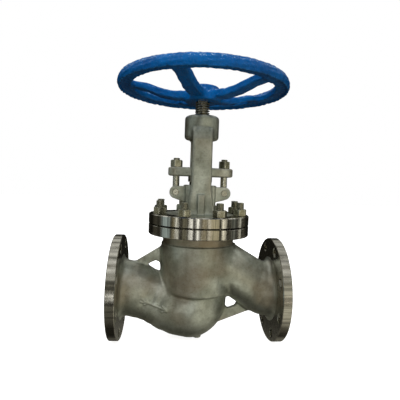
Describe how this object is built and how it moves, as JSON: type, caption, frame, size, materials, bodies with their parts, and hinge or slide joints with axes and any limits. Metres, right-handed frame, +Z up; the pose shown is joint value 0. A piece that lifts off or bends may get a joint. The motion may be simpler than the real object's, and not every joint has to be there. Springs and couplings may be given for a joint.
{
  "type": "globe valve",
  "caption": "Flanged globe valve with a round body, bolted bonnet, open yoke, rising threaded stem and a spoked handwheel.",
  "frame": {"origin": "centre of the inlet flange's bolt face (the plane of the bolt holes, 2 mm behind the raised face)", "axes": "+X along the flow, from inlet to outlet; +Z up the stem, towards the handwheel"},
  "size_m": [0.35, 0.35, 0.5395],
  "materials": {
    "cast_steel": "shot-blasted cast stainless steel, machined on the flanges",
    "machined_steel": "turned stainless steel",
    "bolting": "dull stainless bolting with a little oil",
    "stem_steel": "turned stainless steel, thread cut",
    "bronze": "turned bronze",
    "graphite": "pressed graphite",
    "wheel_paint": "glossy blue paint"
  },
  "bodies": {
    "valve_body": {"body": "cast_steel", "seat_ring": "machined_steel", "bonnet_gasket": "graphite", "bonnet": "cast_steel", "bonnet_studs": "bolting", "bonnet_nuts": "bolting", "back_seat_bush": "machined_steel", "packing_washer": "machined_steel", "packing_rings": "graphite", "eyebolt_left": "bolting", "eyebolt_right": "bolting", "eyebolt_pin_left": "bolting", "eyebolt_pin_right": "bolting", "yoke_nut": "bronze", "yoke_nut_screw": "bolting"},
    "disc": {"disc": "machined_steel", "disc_cover": "machined_steel"},
    "stem": {"stem": "stem_steel", "handwheel": "wheel_paint", "wheel_washer": "machined_steel", "wheel_nut": "bolting"},
    "gland": {"gland_flange": "cast_steel", "gland_follower": "machined_steel"},
    "gland_nut_left": {"gland_nut_left": "bolting"},
    "gland_nut_right": {"gland_nut_right": "bolting"}
  },
  "joints": [
    {"name": "disc_lift", "type": "slide", "parent": "valve_body", "child": "disc", "axis": [0, 0, 1], "range_m": [0, 0.028]},
    {"name": "stem_turn", "type": "hinge", "parent": "disc", "child": "stem", "pos_m": [0.173, 0, 0], "axis": [0, 0, 1], "range_deg": [0, 2016]},
    {"name": "gland_lift", "type": "slide", "parent": "valve_body", "child": "gland", "axis": [0, 0, 1], "range_m": [0, 0.004]},
    {"name": "gland_nut_left_turn", "type": "hinge", "parent": "gland", "child": "gland_nut_left", "pos_m": [0.123, 0, 0.252], "axis": [0, 0, 1], "range_deg": [0, 720]},
    {"name": "gland_nut_right_turn", "type": "hinge", "parent": "gland", "child": "gland_nut_right", "pos_m": [0.223, 0, 0.252], "axis": [0, 0, 1], "range_deg": [0, 720]}
  ],
  "couplings": [
    {"joint": "disc_lift", "follows": "stem_turn", "m_per_rad": 0.00079577},
    {"joint": "gland_nut_left_turn", "follows": "gland_lift", "rad_per_m": 3141.6},
    {"joint": "gland_nut_right_turn", "follows": "gland_lift", "rad_per_m": 3141.6}
  ]
}
